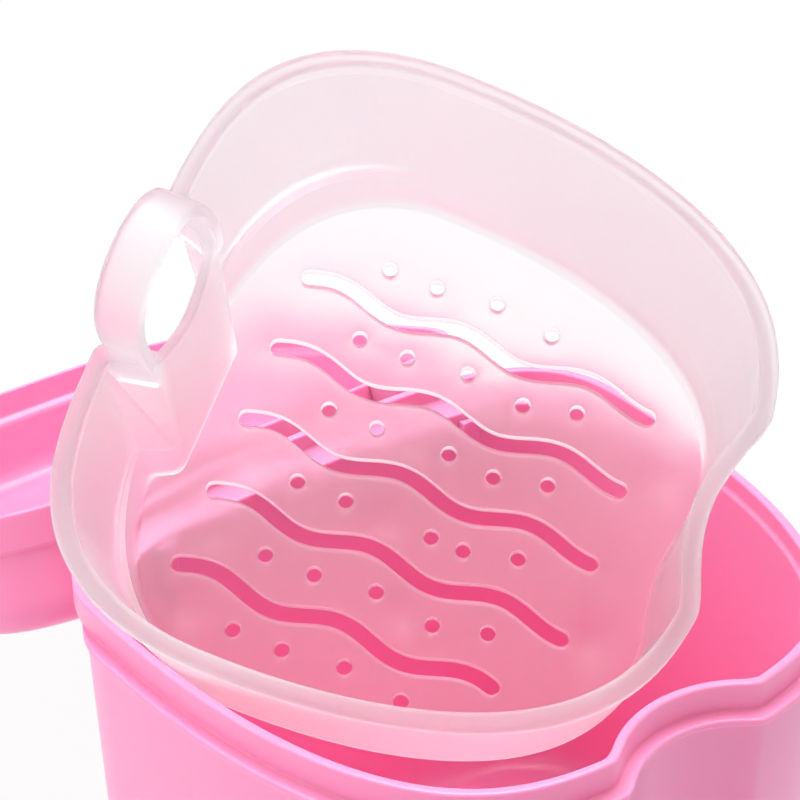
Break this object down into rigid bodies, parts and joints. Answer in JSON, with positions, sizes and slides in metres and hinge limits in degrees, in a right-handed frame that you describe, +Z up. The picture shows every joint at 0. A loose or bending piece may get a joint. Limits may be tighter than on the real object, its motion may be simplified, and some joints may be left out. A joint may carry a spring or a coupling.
{
  "type": "denture case",
  "caption": "Pink denture bath: D-shaped tub with a front scallop, hinged lid thrown open and a frosted strainer basket with an arch handle tilted in its mouth.",
  "frame": {"origin": "middle of the tub's flat base, on the surface that it stands on", "axes": "+Z up, +X from the hinge to the scalloped front, +Y to the left seen from the front"},
  "size_m": [0.1675, 0.1009, 0.134],
  "materials": {
    "tub_pink": "gloss",
    "lid_pink": "gloss",
    "frosted": "satin"
  },
  "bodies": {
    "tub": {"tub": "tub_pink"},
    "lid": {"lid": "lid_pink"},
    "basket": {"strainer_basket": "frosted"}
  },
  "joints": [
    {"name": "lid_hinge", "type": "hinge", "parent": "tub", "child": "lid", "pos_m": [-0.04507, 0, 0.06812], "axis": [0, 1, 0], "range_deg": [0, 201.4]},
    {"name": "basket_lift", "type": "slide", "parent": "tub", "child": "basket", "axis": [0.5263, -0.4068, 0.7466], "range_m": [0, 0.15]}
  ],
  "couplings": [
    {"joint": "basket_lift", "follows": "lid_hinge", "m_per_rad": 0.04266}
  ]
}
